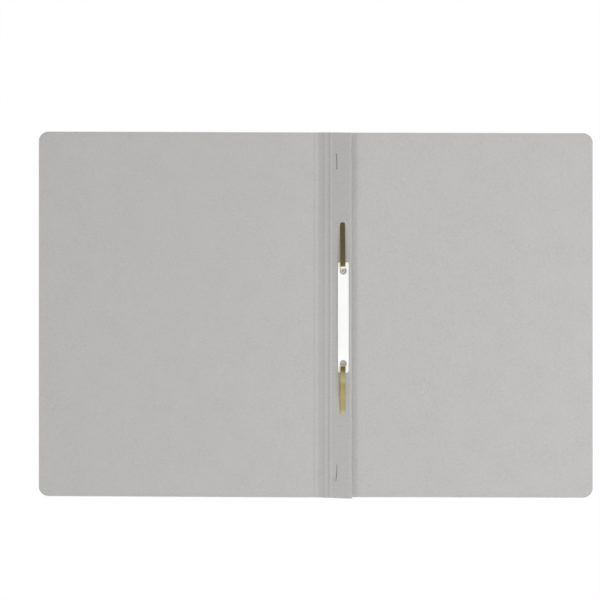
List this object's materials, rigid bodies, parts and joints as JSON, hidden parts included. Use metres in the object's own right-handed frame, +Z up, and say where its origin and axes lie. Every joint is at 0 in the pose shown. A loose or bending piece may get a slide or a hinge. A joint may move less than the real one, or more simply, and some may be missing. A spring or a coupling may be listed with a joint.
{
  "type": "fastener folder",
  "caption": "Card file folder for A4 sheets, open flat, with a folding spine flap that carries a two-prong metal fastener under a slim cover bar.",
  "frame": {"origin": "on the table under the middle of the open folder's box", "axes": "+X across the spine towards the back cover, +Y along the spine towards the top of the sheets, +Z up from the table towards the folder's inside"},
  "size_m": [0.4838, 0.318, 0.0074],
  "materials": {
    "card": "matt recycled grey card",
    "metal": "soft brassed strip",
    "bar": "white plastic, low sheen",
    "wire": "bright wire"
  },
  "bodies": {
    "back": {"back_cover": "card"},
    "flap": {"fastener_flap": "card", "fastener_strip": "metal", "staple_upper": "wire", "staple_lower": "wire"},
    "strip": {"hinge_strip": "card"},
    "front": {"front_cover": "card"},
    "upper_prong": {"prong_upper": "metal"},
    "lower_prong": {"prong_lower": "metal"},
    "bar": {"cover_bar": "bar"}
  },
  "joints": [
    {"name": "flap_lift", "type": "hinge", "parent": "back", "child": "flap", "pos_m": [0.00253, 0, 0.0017], "axis": [0, -1, 0], "range_deg": [0, 90]},
    {"name": "cover_swing", "type": "hinge", "parent": "back", "child": "strip", "pos_m": [0.00253, 0, 0.0017], "axis": [0, -1, 0], "range_deg": [-154.5, 0]},
    {"name": "front_crease_fold", "type": "hinge", "parent": "strip", "child": "front", "pos_m": [-0.01187, 0, 0.00156], "axis": [0, -1, 0], "range_deg": [-27.6, 0]},
    {"name": "prong_upper_fold", "type": "hinge", "parent": "flap", "child": "upper_prong", "pos_m": [0.02384, 0.0397, 0.00705], "axis": [0.9961, 0, 0.0882], "range_deg": [0, 170]},
    {"name": "prong_lower_fold", "type": "hinge", "parent": "flap", "child": "lower_prong", "pos_m": [0.02384, -0.0433, 0.00705], "axis": [-0.9961, 0, -0.0882], "range_deg": [0, 170]},
    {"name": "bar_lift", "type": "slide", "parent": "flap", "child": "bar", "axis": [-0.0882, 0, 0.9961], "range_m": [0, 0.0012]}
  ]
}
